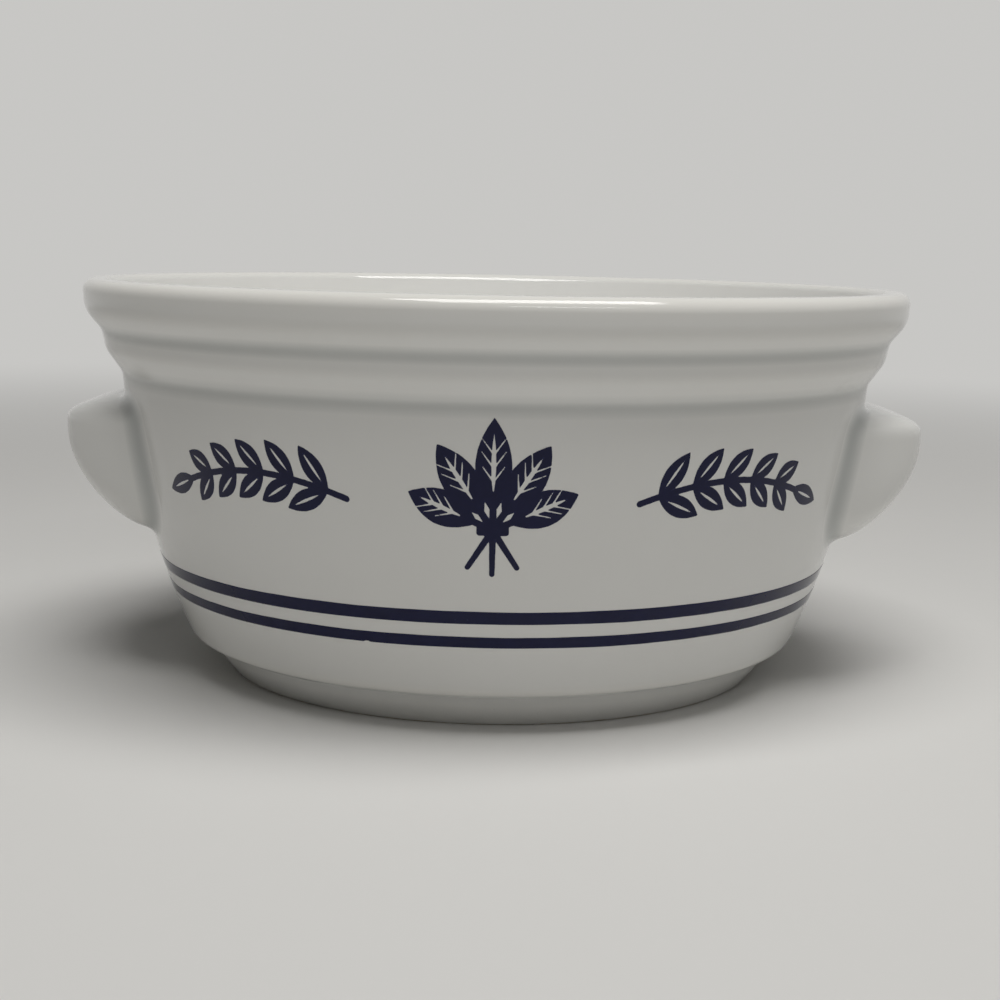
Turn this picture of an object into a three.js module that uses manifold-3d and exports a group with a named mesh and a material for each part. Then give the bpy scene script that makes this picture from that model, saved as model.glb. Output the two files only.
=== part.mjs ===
// A white glazed soup bowl: a stepped collar under the rim, two solid lug handles bonded on
// with slip, two dark blue stripes above the foot and a leaf print on the front of the wall.
// Millimetres, +Z up. The origin is the centre of the foot ring's resting face, the handles
// lie along X and the printed front faces -Y.

import * as THREE from "three";
import { mergeVertices } from "three/addons/utils/BufferGeometryUtils.js";
import Module from "manifold-3d";

const wasm = await Module();
wasm.setup();

// Bowl as a whole
const bowlHeight = 71.5;
const rimRadius = 76;
const wallThickness = 5.2;

// Rim and the two steps of the collar under it, from the top down
const rimThickness = 5;
const lipRound = 2.2;
const rimBandHeight = 5.6;
const rimBandInset = 0.4;
const rimStepInset = 2.9;
const rimStepFall = 3.4;
const collarHeight = 3.5;
const collarInset = 0.7;
const collarStepInset = 2.9;
const collarStepFall = 4.1;
const stepEdgeRound = 5;
const stepCoveRound = 3;
const mouthRound = 30;

// Wall, whose outline is one arc that leans from vertical by these degrees at its ends
const wallTopLean = 4.5;
const wallBottomLean = 23.5;

// Foot ring, shoulder above it and floor
const footRadius = 49.8;
const footHeight = 5.7;
const footFlare = 4.4;
const footWidth = 5.5;
const footRecess = 2.6;
const footEdgeRound = 0.9;
const shoulderRise = 1.2;
const shoulderRound = 2.5;
const floorThickness = 5.6;
const floorCornerRound = 14;

// Lug handles: how far they pass the rim, their place between the rim and the upper stripe,
// their width, the share of their reach with an even section, and their blend powers
const lugOverhang = 3.8;
const lugTopDrop = 21.2;
const lugTipDrop = 5.2;
const lugStripeGap = 4.3;
const lugHalfWidth = 30;
const lugRootDepth = 13;
const lugEvenShare = 0.3;
const lugTopPower = 2.1;
const lugHeelPower = 1.45;
const lugPlanPower = 2.2;
const lugSectionPower = 4.2;

// Slip that bonds a lug to the wall, and the gap on both of its faces
const slipThickness = 0.8;
const slipMargin = 1.2;
const bondGap = 0.3;

// Stripes, measured up the wall from the foot's resting face
const lowerStripeBottom = 15.6;
const lowerStripeWidth = 1.9;
const stripeGap = 2.25;
const upperStripeWidth = 2.15;

// Print layers, raised a little off the wall, with their middle above that of the clear wall
const printGap = 0.15;
const printThickness = 0.3;
const printRise = 2.6;

// Bunch of leaves at the front: a fan of leaves on stalks that pass through a tie
const bunchLeafAngles = [-66, -33, 0, 33, 66];
const bunchLeafLength = 15;
const bunchOuterShrink = 0.22;
const bunchLeafWidth = 5.6;
const bunchStalkLength = 2.6;
const bunchTieDrop = 5.5;
const bunchTieWidth = 5;
const bunchTieHeight = 1.8;
const bunchTailAngles = [-32, 0, 32];
const bunchTailLength = 7.2;
const stalkWidth = 1.1;

// Leafy sprig at each side of the bunch, with its middle turned round the bowl by degrees
const sprigTurn = 34;
const sprigLength = 33;
const sprigBow = 3;
const sprigPairs = 5;
const sprigTipSpace = 0.6;
const sprigLeafLength = 8.6;
const sprigTipShrink = 0.3;
const sprigLeafWidth = 3.4;
const sprigLeafAngle = 40;

// White vein left open along the middle of each leaf, as shares of the leaf
const veinStart = 0.2;
const veinEnd = 0.84;
const veinWidth = 0.13;

// Fineness of the facets
const turnFacets = 56;
const arcStep = 30;
const wallFacets = 6;
const stripeFacets = 1;
const lugRingFacets = 28;
const lugReachFacets = 20;
const leafFacets = 3;
const sprigStemFacets = 12;
const mergeDistance = 1e-4;

// Places that follow from the dimensions
const rimBandBottom = bowlHeight - rimBandHeight;
const rimBandRadius = rimRadius - rimBandInset;
const collarTopRadius = rimBandRadius - rimStepInset;
const collarTop = rimBandBottom - rimStepFall;
const collarBottomRadius = collarTopRadius - collarInset;
const collarBottom = collarTop - collarHeight;
const wallTopRadius = collarBottomRadius - collarStepInset;
const wallTop = collarBottom - collarStepFall;
const wallBottom = footHeight + shoulderRise;
const floorTop = footRecess + floorThickness;
const upperStripeBottom = lowerStripeBottom + lowerStripeWidth + stripeGap;
const upperStripeTop = upperStripeBottom + upperStripeWidth;
const printHeight = (upperStripeTop + wallTop) / 2 + printRise;
const lugTop = bowlHeight - lugTopDrop;
const lugTip = lugTop - lugTipDrop;
const lugBottom = upperStripeTop + lugStripeGap;
const lugTipRadius = rimRadius + lugOverhang;

// Finishes
const glaze = { color: 0xf0eee8, roughness: 0.12, metalness: 0 };
const dryGlaze = { color: 0xe6e2d8, roughness: 0.3, metalness: 0 };
const pigment = { color: 0x17193c, roughness: 0.16, metalness: 0 };

const radians = THREE.MathUtils.degToRad;

// The wall's outline is an arc, so a layer on the wall or inside it is a larger or smaller arc
const wallArc = makeWallArc();

function makeWallArc() {
  const topSine = Math.sin(radians(wallTopLean));
  const bottomSine = Math.sin(radians(wallBottomLean));
  const radius = (wallTop - wallBottom) / (bottomSine - topSine);
  const x = wallTopRadius - radius * Math.cos(radians(wallTopLean));
  const z = wallTop + radius * topSine;
  return { x, z, radius };
}

function wallRadius(height, offset) {
  const drop = wallArc.z - height;
  const reach = wallArc.radius + offset;
  return wallArc.x + Math.sqrt(reach * reach - drop * drop);
}

// Points of the wall's arc, moved out by an offset, from one height to another
function wallPoints(fromHeight, toHeight, offset, facets) {
  const points = [];
  for (let step = 0; step <= facets; step += 1) {
    const height = THREE.MathUtils.lerp(fromHeight, toHeight, step / facets);
    points.push(new THREE.Vector2(wallRadius(height, offset), height));
  }
  return points;
}

function corner(x, y, round = 0) {
  const point = new THREE.Vector2(x, y);
  point.round = round;
  return point;
}

// The length of an edge that the arc at one of its ends may use
function edgeShare(here, next) {
  const share = next.round ? 0.45 : 0.9;
  return share * here.distanceTo(next);
}

// Points of the arc that rounds a corner between its two neighbours
function cornerArc(before, here, after) {
  const back = before.clone().sub(here).normalize();
  const ahead = after.clone().sub(here).normalize();
  const half = Math.acos(THREE.MathUtils.clamp(back.dot(ahead), -1, 1)) / 2;
  const wanted = here.round / Math.tan(half);
  const tangent = Math.min(wanted, edgeShare(here, before), edgeShare(here, after));
  const radius = tangent * Math.tan(half);
  const middle = back.clone().add(ahead).setLength(radius / Math.sin(half)).add(here);
  const start = back.clone().multiplyScalar(tangent).add(here).sub(middle);
  const side = Math.sign(back.cross(ahead));
  const turn = -side * (Math.PI - 2 * half);
  const steps = Math.max(2, Math.ceil(Math.abs(turn) / radians(arcStep)));
  const points = [];
  for (let step = 0; step <= steps; step += 1) {
    const spoke = start.clone().rotateAround(new THREE.Vector2(), (turn * step) / steps);
    points.push(spoke.add(middle));
  }
  return points;
}

function roundCorners(corners) {
  return corners.flatMap((here, index) => {
    if (!here.round) {
      return [here];
    }
    return cornerArc(corners[index - 1], here, corners[index + 1]);
  });
}

// A closed solid from a geometry, with shared points merged and empty triangles dropped
function solidFrom(geometry) {
  const bare = geometry.clone();
  bare.deleteAttribute("normal");
  bare.deleteAttribute("uv");
  const merged = mergeVertices(bare, mergeDistance);
  const index = merged.index.array;
  const triangles = [];
  for (let start = 0; start < index.length; start += 3) {
    const [a, b, c] = index.slice(start, start + 3);
    if (a !== b && b !== c && c !== a) {
      triangles.push(a, b, c);
    }
  }
  const vertProperties = Float32Array.from(merged.attributes.position.array);
  const triVerts = Uint32Array.from(triangles);
  return new wasm.Manifold(new wasm.Mesh({ numProp: 3, vertProperties, triVerts }));
}

function meshFrom(name, solid, finish) {
  const { vertProperties, triVerts } = solid.getMesh();
  const geometry = new THREE.BufferGeometry();
  geometry.setAttribute("position", new THREE.BufferAttribute(vertProperties, 3));
  geometry.setIndex(new THREE.BufferAttribute(triVerts, 1));
  geometry.computeVertexNormals();
  const mesh = new THREE.Mesh(geometry, new THREE.MeshStandardMaterial(finish));
  mesh.name = name;
  return mesh;
}

// A solid of revolution about Z, from points of radius and height
function turned(points) {
  const geometry = new THREE.LatheGeometry(points, turnFacets);
  geometry.rotateX(Math.PI / 2);
  return solidFrom(geometry);
}

// A ring that follows the wall between two heights and two offsets
function wallRing(bottom, top, inner, outer, facets) {
  const outside = wallPoints(bottom, top, outer, facets);
  const inside = wallPoints(top, bottom, inner, facets);
  return turned([...outside, ...inside, outside[0]]);
}

// The fired body: foot ring, shoulder, wall, stepped collar, lip, inside wall and floor
function bowlBody() {
  const footInner = footRadius - footWidth;
  const insideTop = wallArc.z - (wallArc.radius - wallThickness) * Math.sin(radians(wallTopLean));
  const insideStep = (insideTop - floorTop) / wallFacets;
  const insideEnd = floorTop + floorCornerRound;
  const insideLean = Math.asin((wallArc.z - insideEnd) / (wallArc.radius - wallThickness));
  const floorCorner = wallRadius(insideEnd, -wallThickness) - Math.tan(insideLean) * floorCornerRound;
  const outsideWall = wallPoints(wallBottom, wallTop, 0, wallFacets).slice(1, -1);
  const insideWall = wallPoints(insideTop - 2 * insideStep, insideEnd, -wallThickness, wallFacets);
  return turned(roundCorners([
    corner(0, footRecess),
    corner(footInner, footRecess, footEdgeRound),
    corner(footInner, 0, footEdgeRound),
    corner(footRadius, 0, footEdgeRound),
    corner(footRadius + footFlare, footHeight, footEdgeRound),
    corner(wallRadius(wallBottom, 0), wallBottom, shoulderRound),
    ...outsideWall.map((point) => corner(point.x, point.y)),
    corner(wallTopRadius, wallTop, stepCoveRound),
    corner(collarBottomRadius, collarBottom, stepEdgeRound),
    corner(collarTopRadius, collarTop, stepCoveRound),
    corner(rimBandRadius, rimBandBottom, stepEdgeRound),
    corner(rimRadius, bowlHeight, lipRound),
    corner(rimRadius - rimThickness, bowlHeight, lipRound),
    corner(wallRadius(insideTop, -wallThickness), insideTop, mouthRound),
    ...insideWall.map((point) => corner(point.x, point.y)),
    corner(floorCorner, floorTop, floorCornerRound),
    corner(0, floorTop),
  ]));
}

// Height of a blend curve that runs flat at first and falls to zero at share 1
function blend(share, power) {
  return Math.pow(Math.max(0, 1 - Math.pow(share, power)), 1 / power);
}

function signedPower(value, power) {
  return Math.sign(value) * Math.pow(Math.abs(value), power);
}

// A lug along +X, grown by a margin: rings of rounded section that shrink towards its tip.
// Each point of a unit sphere gives a share of the reach and a direction round the ring.
function lugShape(margin) {
  const rootRadius = wallRadius(lugTip, 0) - lugRootDepth;
  const above = lugTop - lugTip + margin;
  const below = lugTip - lugBottom + margin;
  const geometry = new THREE.SphereGeometry(1, lugRingFacets, lugReachFacets);
  const position = geometry.attributes.position;
  for (let index = 0; index < position.count; index += 1) {
    const spoke = new THREE.Vector3().fromBufferAttribute(position, index);
    const share = Math.max(0, spoke.y);
    const girth = Math.hypot(spoke.x, spoke.z);
    const fill = spoke.y < 0 ? girth : 1;
    const rise = girth > mergeDistance ? signedPower(spoke.x / girth, 2 / lugSectionPower) : 0;
    const sway = girth > mergeDistance ? signedPower(spoke.z / girth, 2 / lugSectionPower) : 0;
    const bent = Math.max(0, (share - lugEvenShare) / (1 - lugEvenShare));
    const upward = rise > 0 ? above * blend(bent, lugTopPower) : below * blend(bent, lugHeelPower);
    const height = lugTip + fill * rise * upward;
    const halfWidth = (lugHalfWidth + margin) * blend(share, lugPlanPower);
    const reach = THREE.MathUtils.lerp(rootRadius, lugTipRadius, share);
    position.setXYZ(index, reach, fill * sway * halfWidth, height);
  }
  return geometry;
}

function turnedAbout(geometry, degrees) {
  return geometry.clone().rotateZ(radians(degrees));
}

// The lug starts clear of its bed of slip, with a root that follows the wall
function lugHandle(degrees) {
  const rootOffset = bondGap + slipThickness + bondGap;
  const wallSide = [
    corner(0, wallBottom),
    ...wallPoints(wallBottom, wallTop, rootOffset, wallFacets),
    corner(0, wallTop),
  ];
  return solidFrom(turnedAbout(lugShape(0), degrees)).subtract(turned(wallSide));
}

// The bed of slip spreads past the lug's root and stops short of the upper stripe
function slipBed(degrees) {
  const outer = bondGap + slipThickness;
  const bed = wallRing(upperStripeTop + bondGap, wallTop - stepCoveRound, bondGap, outer, wallFacets);
  return bed.intersect(solidFrom(turnedAbout(lugShape(slipMargin), degrees)));
}

function stripe(bottom, width) {
  return wallRing(bottom, bottom + width, printGap, printGap + printThickness, stripeFacets);
}

// A flat outline as a block that stands across the wall, with its middle at the print's height
function printBlock(shape, degrees) {
  const depth = rimRadius;
  const options = { depth, bevelEnabled: false, curveSegments: leafFacets };
  const geometry = new THREE.ExtrudeGeometry(shape, options);
  geometry.rotateX(Math.PI / 2);
  geometry.translate(0, 0, printHeight);
  return solidFrom(turnedAbout(geometry, degrees));
}

// A pointed leaf outline from a base point, heading at an angle from straight up
function leafOutline(base, angle, length, width) {
  const ahead = new THREE.Vector2(Math.sin(angle), Math.cos(angle));
  const aside = new THREE.Vector2(ahead.y, -ahead.x);
  const tip = ahead.clone().multiplyScalar(length).add(base);
  const belly = ahead.clone().multiplyScalar(length / 2).add(base);
  const left = aside.clone().multiplyScalar(-width).add(belly);
  const right = aside.clone().multiplyScalar(width).add(belly);
  const outline = new THREE.Shape();
  outline.moveTo(base.x, base.y);
  outline.quadraticCurveTo(left.x, left.y, tip.x, tip.y);
  outline.quadraticCurveTo(right.x, right.y, base.x, base.y);
  return outline;
}

// A leaf block with its vein cut out
function leafBlock(base, angle, length, width, degrees) {
  const ahead = new THREE.Vector2(Math.sin(angle), Math.cos(angle));
  const veinBase = ahead.clone().multiplyScalar(veinStart * length).add(base);
  const vein = leafOutline(veinBase, angle, (veinEnd - veinStart) * length, veinWidth * width);
  const leaf = leafOutline(base, angle, length, width);
  return printBlock(leaf, degrees).subtract(printBlock(vein, degrees));
}

// A straight stalk from a point, heading at an angle from straight up
function stalkBlock(from, angle, length, degrees) {
  const ahead = new THREE.Vector2(Math.sin(angle), Math.cos(angle)).multiplyScalar(length);
  const aside = new THREE.Vector2(Math.cos(angle), -Math.sin(angle)).multiplyScalar(stalkWidth / 2);
  const corners = [
    from.clone().sub(aside),
    from.clone().add(aside),
    from.clone().add(aside).add(ahead),
    from.clone().sub(aside).add(ahead),
  ];
  return printBlock(new THREE.Shape(corners), degrees);
}

function joined(blocks) {
  return blocks.reduce((whole, block) => whole.add(block));
}

// The part of a print block that lies in the thin layer on the wall
function onWall(block) {
  const layer = wallRing(upperStripeTop, wallTop, printGap, printGap + printThickness, wallFacets);
  return layer.intersect(block);
}

function leafBunch() {
  const tie = new THREE.Vector2(0, -bunchTieDrop);
  const widestAngle = Math.max(...bunchLeafAngles);
  const leaves = bunchLeafAngles.flatMap((leafAngle) => {
    const angle = radians(leafAngle);
    const length = bunchLeafLength * (1 - (bunchOuterShrink * Math.abs(leafAngle)) / widestAngle);
    const base = new THREE.Vector2(Math.sin(angle), Math.cos(angle));
    base.multiplyScalar(bunchStalkLength).add(tie);
    return [
      stalkBlock(tie, angle, bunchStalkLength + veinStart * length, 0),
      leafBlock(base, angle, length, bunchLeafWidth, 0),
    ];
  });
  const tails = bunchTailAngles.map((tailAngle) => {
    return stalkBlock(tie, Math.PI + radians(tailAngle), bunchTailLength, 0);
  });
  const tieBand = new THREE.Shape([
    new THREE.Vector2(-bunchTieWidth / 2, tie.y - bunchTieHeight / 2),
    new THREE.Vector2(bunchTieWidth / 2, tie.y - bunchTieHeight / 2),
    new THREE.Vector2(bunchTieWidth / 2, tie.y + bunchTieHeight / 2),
    new THREE.Vector2(-bunchTieWidth / 2, tie.y + bunchTieHeight / 2),
  ]);
  return onWall(joined([...leaves, ...tails, printBlock(tieBand, 0)]));
}

// The line of a sprig's stem: it runs outward from the bunch and bows upward in the middle
function stemPoint(side, share) {
  const x = side * sprigLength * (share - 0.5);
  const y = sprigBow * (4 * share * (1 - share) - 0.5);
  return new THREE.Vector2(x, y);
}

function stemAngle(side, share) {
  const rise = 4 * sprigBow * (1 - 2 * share);
  return Math.atan2(side * sprigLength, rise);
}

function stemBlock(side, degrees) {
  const upper = [];
  const lower = [];
  for (let step = 0; step <= sprigStemFacets; step += 1) {
    const point = stemPoint(side, step / sprigStemFacets);
    upper.push(new THREE.Vector2(point.x, point.y + stalkWidth / 2));
    lower.unshift(new THREE.Vector2(point.x, point.y - stalkWidth / 2));
  }
  return printBlock(new THREE.Shape([...upper, ...lower]), degrees);
}

function leafSprig(side) {
  const degrees = side * sprigTurn;
  const blocks = [stemBlock(side, degrees)];
  for (let pair = 0; pair < sprigPairs; pair += 1) {
    const share = (pair + 0.5) / (sprigPairs + sprigTipSpace);
    const length = sprigLeafLength * (1 - sprigTipShrink * share);
    for (const flank of [-1, 1]) {
      const angle = stemAngle(side, share) + flank * radians(sprigLeafAngle);
      blocks.push(leafBlock(stemPoint(side, share), angle, length, sprigLeafWidth, degrees));
    }
  }
  const tipBase = stemPoint(side, 1 - veinStart / sprigPairs);
  blocks.push(leafBlock(tipBase, stemAngle(side, 1), sprigLeafLength, sprigLeafWidth, degrees));
  return onWall(joined(blocks));
}

const bowl = new THREE.Group();
bowl.add(meshFrom("bowl_body", bowlBody(), glaze));
bowl.add(meshFrom("right_lug_handle", lugHandle(0), glaze));
bowl.add(meshFrom("left_lug_handle", lugHandle(180), glaze));
bowl.add(meshFrom("right_bond_slip", slipBed(0), dryGlaze));
bowl.add(meshFrom("left_bond_slip", slipBed(180), dryGlaze));
bowl.add(meshFrom("upper_stripe", stripe(upperStripeBottom, upperStripeWidth), pigment));
bowl.add(meshFrom("lower_stripe", stripe(lowerStripeBottom, lowerStripeWidth), pigment));
bowl.add(meshFrom("front_leaf_bunch", leafBunch(), pigment));
bowl.add(meshFrom("left_leaf_sprig", leafSprig(-1), pigment));
bowl.add(meshFrom("right_leaf_sprig", leafSprig(1), pigment));

export default bowl;
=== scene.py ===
import math

import bpy
import numpy as np
from mathutils import Matrix, Vector


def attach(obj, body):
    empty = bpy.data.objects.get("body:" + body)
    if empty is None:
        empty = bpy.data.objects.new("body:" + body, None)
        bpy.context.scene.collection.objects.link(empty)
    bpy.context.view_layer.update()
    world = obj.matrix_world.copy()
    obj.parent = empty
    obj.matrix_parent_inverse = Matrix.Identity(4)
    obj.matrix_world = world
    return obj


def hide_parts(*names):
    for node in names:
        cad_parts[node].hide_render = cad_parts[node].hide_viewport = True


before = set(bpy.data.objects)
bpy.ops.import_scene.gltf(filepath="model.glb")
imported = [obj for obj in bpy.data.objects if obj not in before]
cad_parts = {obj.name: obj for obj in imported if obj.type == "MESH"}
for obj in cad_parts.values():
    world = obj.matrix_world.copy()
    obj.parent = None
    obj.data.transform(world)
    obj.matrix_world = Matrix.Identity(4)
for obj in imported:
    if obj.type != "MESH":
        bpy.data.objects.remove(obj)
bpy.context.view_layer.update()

MM = 0.001

# Bowl outline, the same sizes as the solids
BOWL_HEIGHT = 71.5
RIM_RADIUS = 76.0
WALL_THICKNESS = 5.2
RIM_THICKNESS = 5.0
LIP_ROUND = 2.2
RIM_BAND_BOTTOM = (75.6, 65.9)
COLLAR_TOP = (72.7, 62.5)
COLLAR_BOTTOM = (72.0, 59.0)
WALL_TOP = (69.1, 54.9)
WALL_BOTTOM_HEIGHT = 6.9
STEP_EDGE_ROUND = 5.0
STEP_COVE_ROUND = 3.0
MOUTH_ROUND = 30.0
WALL_TOP_LEAN = math.radians(4.5)
WALL_BOTTOM_LEAN = math.radians(23.5)
FOOT_RADIUS = 49.8
FOOT_INNER = 44.3
FOOT_TOP = (54.2, 5.7)
FOOT_RECESS = 2.6
FOOT_EDGE_ROUND = 0.9
SHOULDER_ROUND = 2.5
FLOOR_TOP = 8.2
FLOOR_CORNER_ROUND = 14.0
CORNER_ROOM = 0.48
WALL_GUIDE = 8.0

# Lug handles
LUG_TOP = 50.3
LUG_TIP = 45.1
LUG_BOTTOM = 26.2
LUG_TIP_RADIUS = 79.8
LUG_ROOT_DEPTH = 13.0
LUG_HALF_WIDTH = 30.0
LUG_EVEN_SHARE = 0.3
LUG_TOP_POWER = 2.1
LUG_HEEL_POWER = 1.45
LUG_PLAN_POWER = 2.2
LUG_SECTION_POWER = 4.2
LUG_SIDE_FILLET = 3.6
LUG_END_FILLET = 0.9
LUG_FILLET_PULL = 1.17
LUG_SKIRT = 0.8
LUG_SKIRT_LIFT = 0.004
LUG_SKIRT_SINK = 0.06
LUG_BURY = 1.2
# Value in the lug's fillet crease, which the glaze turns into pooled glaze and painted shade along the
# joint
LUG_CREASE_SHADE_VALUE = -0.5
LUG_TIP_VALUE = 0.25

# Stripes and prints
LOWER_STRIPE = (15.6, 17.5)
UPPER_STRIPE = (19.75, 21.9)
PRINT_HEIGHT = 41.0
PIGMENT_PROUD = 0.03
PIGMENT_BURY = 0.12
RIPPLE_WAVES = 5
RIPPLE_PITCH = 1.7
RIPPLE_SHIFT = 2.3
RIPPLE_PEAK = 2.3
STRIPE_WAVER = 0.05
STRIPE_LOW_WAVES = (9, 5)
STRIPE_HIGH_WAVES = (-6, 8)
STRIPE_FADE = 0.1
STRIPE_FADE_VALUE = 0.8
UPPER_STRIPE_SEED = 1
LOWER_STRIPE_SEED = 4
NICK_ANGLE = math.radians(-90 - 19)
NICK_REACH = 0.007
NICK_DEPTH = 0.32
PRINT_WAVER = 0.025
PRINT_WAVES = (2.1, 1.3)
PRINT_EDGE_WIDTH = 0.3
STALK_WIDTH = 1.1
STALK_HALF = STALK_WIDTH / 2
TAIL_END_HALF = STALK_WIDTH / 2.6
STEM_HALF = STALK_WIDTH / 2.1
BUNCH_ANGLES = (-66, -33, 0, 33, 66)
BUNCH_LEAF_LENGTH = 15.0
BUNCH_OUTER_SHRINK = 0.22
BUNCH_LEAF_WIDTH = 5.6
BUNCH_STALK = 2.6
BUNCH_TIE_DROP = 5.5
BUNCH_TIE_SIZE = (5.0, 1.8)
BUNCH_TIE_ROUND = 0.5
BUNCH_SIDE_VEINS = (0.34, 0.48, 0.62)
BUNCH_HALF_SIZE = (15.0, 15.5)
BUNCH_SEED = 1
BUNCH_TAIL_ANGLES = (-32, 0, 32)
BUNCH_TAIL_LENGTH = 7.2
SPRIG_TURN = 34.0
SPRIG_LENGTH = 33.0
SPRIG_BOW = 3.0
SPRIG_PAIRS = 5
SPRIG_TIP_SPACE = 0.6
SPRIG_LEAF_LENGTH = 8.6
SPRIG_TIP_SHRINK = 0.3
SPRIG_LEAF_WIDTH = 3.4
SPRIG_LEAF_ANGLE = 40.0
SPRIG_HALF_SIZE = (25.0, 9.0)
SPRIG_SEED = 3
VEIN_START = 0.2
VEIN_END = 0.84
VEIN_WIDTH = 0.13
SIDE_VEIN_ANGLE = math.radians(36)
SIDE_VEIN_REACH = 1.16
SIDE_VEIN_HALVES = (0.15, 0.07)

# Fineness of the meshes
TURN_STEPS = 256
ARC_STEP = math.radians(7.5)
WALL_STEPS = 44
FLOOR_STEPS = 14
LUG_ROUND_STEPS = 176
LUG_REACH_STEPS = 40
LUG_FILLET_STEPS = 9
LUG_ROOT_SAMPLES = 4001
NEAR_TIP_SHARE = 0.999
SHARE_STEP = 0.001
HALVINGS = 40
STRIPE_STEPS = 900
STEM_STEPS = 16
PRINT_GRID = 0.15


# How an outline's bends become a value for the glaze: the length over which they are averaged, the scale
BEND_SPREAD = 0.6
BEND_SCALE = 2.0
TINY = 1e-5
SHORTEST_STEP = 1e-6


# Outline of the bowl

WALL_RADIUS = (WALL_TOP[1] - WALL_BOTTOM_HEIGHT) / (math.sin(WALL_BOTTOM_LEAN) - math.sin(WALL_TOP_LEAN))
WALL_CENTRE = (
    WALL_TOP[0] - WALL_RADIUS * math.cos(WALL_TOP_LEAN),
    WALL_TOP[1] + WALL_RADIUS * math.sin(WALL_TOP_LEAN),
)


def wall_radius(height, offset=0.0):
    """Radius of the wall's outside at a height, moved out along the wall's normal."""
    reach = WALL_RADIUS + offset
    return WALL_CENTRE[0] + np.sqrt(reach ** 2 - (WALL_CENTRE[1] - height) ** 2)


def wall_tangent(height):
    """Upward direction of the wall's outline at a height."""
    lean = math.asin((WALL_CENTRE[1] - height) / WALL_RADIUS)
    return np.array((math.sin(lean), math.cos(lean)))


def arc(centre, radius, start, end):
    """Points of an arc between two angles, both ends included."""
    steps = max(3, math.ceil(abs(end - start) / ARC_STEP))
    angles = np.linspace(start, end, steps + 1)
    return [np.array((centre[0] + radius * math.cos(a), centre[1] + radius * math.sin(a))) for a in angles]


def rounded(before, here, after, radius):
    """The arc that rounds a corner between two straight edges."""
    back = before - here
    ahead = after - here
    room = min(np.linalg.norm(back), np.linalg.norm(ahead)) * CORNER_ROOM
    back = back / np.linalg.norm(back)
    ahead = ahead / np.linalg.norm(ahead)
    half = math.acos(float(np.clip(back @ ahead, -1, 1))) / 2
    tangent = min(radius / math.tan(half), room)
    radius = tangent * math.tan(half)
    middle = back + ahead
    centre = here + middle / np.linalg.norm(middle) * radius / math.sin(half)
    first = here + back * tangent - centre
    last = here + ahead * tangent - centre
    start = math.atan2(first[1], first[0])
    turn = math.atan2(first[0] * last[1] - first[1] * last[0], first @ last)
    return arc(centre, radius, start, start + turn)


def outside_points():
    """Outline from the axis under the bowl, round the foot, up the wall and over the lip."""
    bottom = np.array((wall_radius(WALL_BOTTOM_HEIGHT), WALL_BOTTOM_HEIGHT))
    top = np.array(WALL_TOP)
    chain = [
        (np.array((0.0, FOOT_RECESS)), 0.0),
        (np.array((FOOT_INNER, FOOT_RECESS)), FOOT_EDGE_ROUND),
        (np.array((FOOT_INNER, 0.0)), FOOT_EDGE_ROUND),
        (np.array((FOOT_RADIUS, 0.0)), FOOT_EDGE_ROUND),
        (np.array(FOOT_TOP), FOOT_EDGE_ROUND),
        (bottom, SHOULDER_ROUND),
        (bottom + WALL_GUIDE * wall_tangent(WALL_BOTTOM_HEIGHT), 0.0),
        (top - WALL_GUIDE * wall_tangent(WALL_TOP[1]), 0.0),
        (top, STEP_COVE_ROUND),
        (np.array(COLLAR_BOTTOM), STEP_EDGE_ROUND),
        (np.array(COLLAR_TOP), STEP_COVE_ROUND),
        (np.array(RIM_BAND_BOTTOM), STEP_EDGE_ROUND),
        (np.array((RIM_RADIUS, BOWL_HEIGHT)), LIP_ROUND),
        (np.array((RIM_RADIUS - RIM_THICKNESS, BOWL_HEIGHT)), LIP_ROUND),
        (mouth_corner(), 0.0),
    ]
    points = []
    for radius in np.linspace(0.0, FOOT_INNER - 2 * FOOT_EDGE_ROUND, FLOOR_STEPS):
        points.append(np.array((radius, FOOT_RECESS)))
    for index in range(1, len(chain) - 1):
        here, radius = chain[index]
        if radius:
            points += rounded(chain[index - 1][0], here, chain[index + 1][0], radius)
        elif chain[index + 1][1] == 0.0:
            first = points[-1][1]
            last = WALL_TOP[1] - STEP_COVE_ROUND / 2
            for height in np.linspace(first, last, WALL_STEPS)[1:-1]:
                points.append(np.array((wall_radius(height), height)))
    return points


def inside_arc_radius():
    return WALL_RADIUS - WALL_THICKNESS


def mouth_corner():
    """Where the straight mouth would meet the inside wall."""
    height = WALL_CENTRE[1] - inside_arc_radius() * math.sin(WALL_TOP_LEAN)
    return np.array((wall_radius(height, -WALL_THICKNESS), height))


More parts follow.
